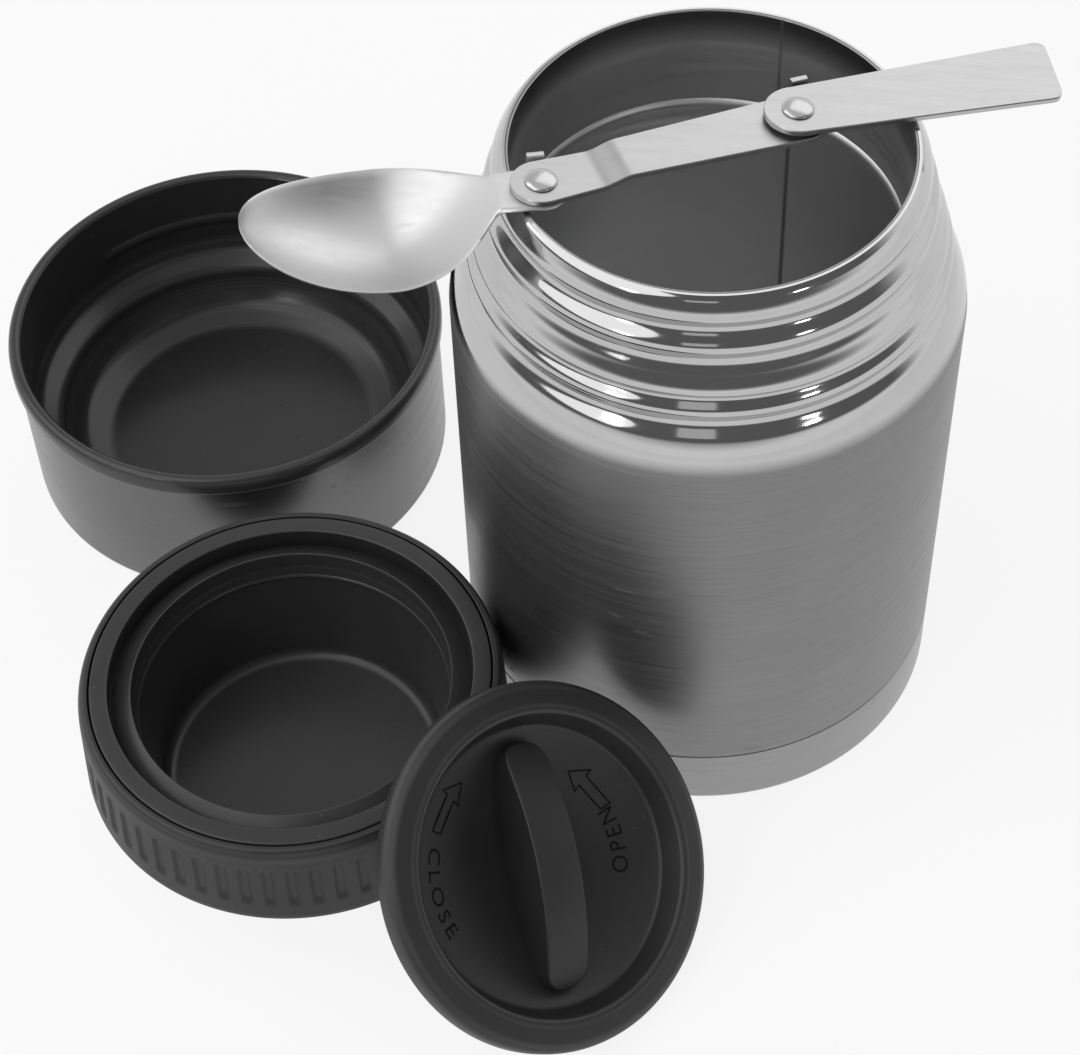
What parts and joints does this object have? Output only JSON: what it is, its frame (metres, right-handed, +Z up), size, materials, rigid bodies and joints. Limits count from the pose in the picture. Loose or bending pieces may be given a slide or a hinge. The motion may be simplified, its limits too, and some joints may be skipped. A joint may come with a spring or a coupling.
{
  "type": "insulated food jar",
  "caption": "Vacuum-walled steel food jar with a steel-clad cup, a screw stopper with a spoon compartment, its twist lid and a folding spoon laid across the open mouth.",
  "frame": {"origin": "centre of the jar's underside, on the surface it stands on", "axes": "+Z up along the jar's axis; the stopper, lid and spoon bowl lie towards -Y and -X, as in the picture"},
  "size_m": [0.2218, 0.2151, 0.1452],
  "materials": {
    "brushed_shell": "brushed body, polished neck",
    "vessel_steel": "drawn satin",
    "copper_foil": "bright foil",
    "plate_steel": "mill",
    "solder_glass": "glassy",
    "getter_metal": "sintered",
    "brushed_base": "brushed",
    "pad_foam": "closed cell foam",
    "cup_steel": "brushed",
    "cup_plastic": "semi gloss",
    "collar_plastic": "fine matte",
    "deck_plastic": "satin",
    "compartment_plastic": "satin",
    "pan_steel": "polished",
    "white_foam": "foam",
    "plug_plastic": "matte",
    "seal_rubber": "silicone",
    "lid_plastic": "fine matte",
    "cover_plastic": "matte",
    "lid_rubber": "silicone",
    "spoon_steel": "polished",
    "link_steel": "satin",
    "handle_steel": "satin",
    "rivet_steel": "polished",
    "washer_steel": "spring steel"
  },
  "bodies": {
    "jar": {"outer_shell": "brushed_shell", "inner_vessel": "vessel_steel", "heat_shield": "copper_foil", "vacuum_plate": "plate_steel", "seal_plug": "solder_glass", "getter_pill": "getter_metal", "base_cap": "brushed_base", "base_pad": "pad_foam"},
    "cup": {"cup_shell": "cup_steel", "cup_liner": "cup_plastic"},
    "cap": {"cap_collar": "collar_plastic", "cap_deck": "deck_plastic", "cap_compartment": "compartment_plastic", "cap_pan": "pan_steel", "cap_foam": "white_foam", "cap_plug_collar": "plug_plastic", "cap_mouth_seal": "seal_rubber"},
    "lid": {"lid_top": "lid_plastic", "lid_cover": "cover_plastic", "lid_seal": "lid_rubber"},
    "spoon": {"spoon_bowl": "spoon_steel", "link_rivet": "rivet_steel"},
    "link": {"spoon_link": "link_steel", "handle_rivet": "rivet_steel", "spring_washer": "washer_steel"},
    "handle": {"spoon_handle": "handle_steel"}
  },
  "joints": [
    {"name": "cup_lift", "type": "slide", "parent": "jar", "child": "cup", "axis": [0, 0, 1], "range_m": [0, 0.16]},
    {"name": "cap_lift", "type": "slide", "parent": "jar", "child": "cap", "axis": [0, 0, 1], "range_m": [0, 0.085]},
    {"name": "lid_lift", "type": "slide", "parent": "cap", "child": "lid", "axis": [0, 0, 1], "range_m": [0, 0.16]},
    {"name": "spoon_lift", "type": "slide", "parent": "jar", "child": "spoon", "axis": [0, 0, 1], "range_m": [0, 0.12]},
    {"name": "link_fold", "type": "hinge", "parent": "spoon", "child": "link", "pos_m": [-0.03039, -0.01345, 0.1432], "axis": [-0.0551, -0.0241, -0.9982], "range_deg": [0, 190]},
    {"name": "handle_fold", "type": "hinge", "parent": "link", "child": "handle", "pos_m": [0.0156, 0.00664, 0.14318], "axis": [-0.0551, -0.0241, -0.9982], "range_deg": [0, 175]}
  ]
}
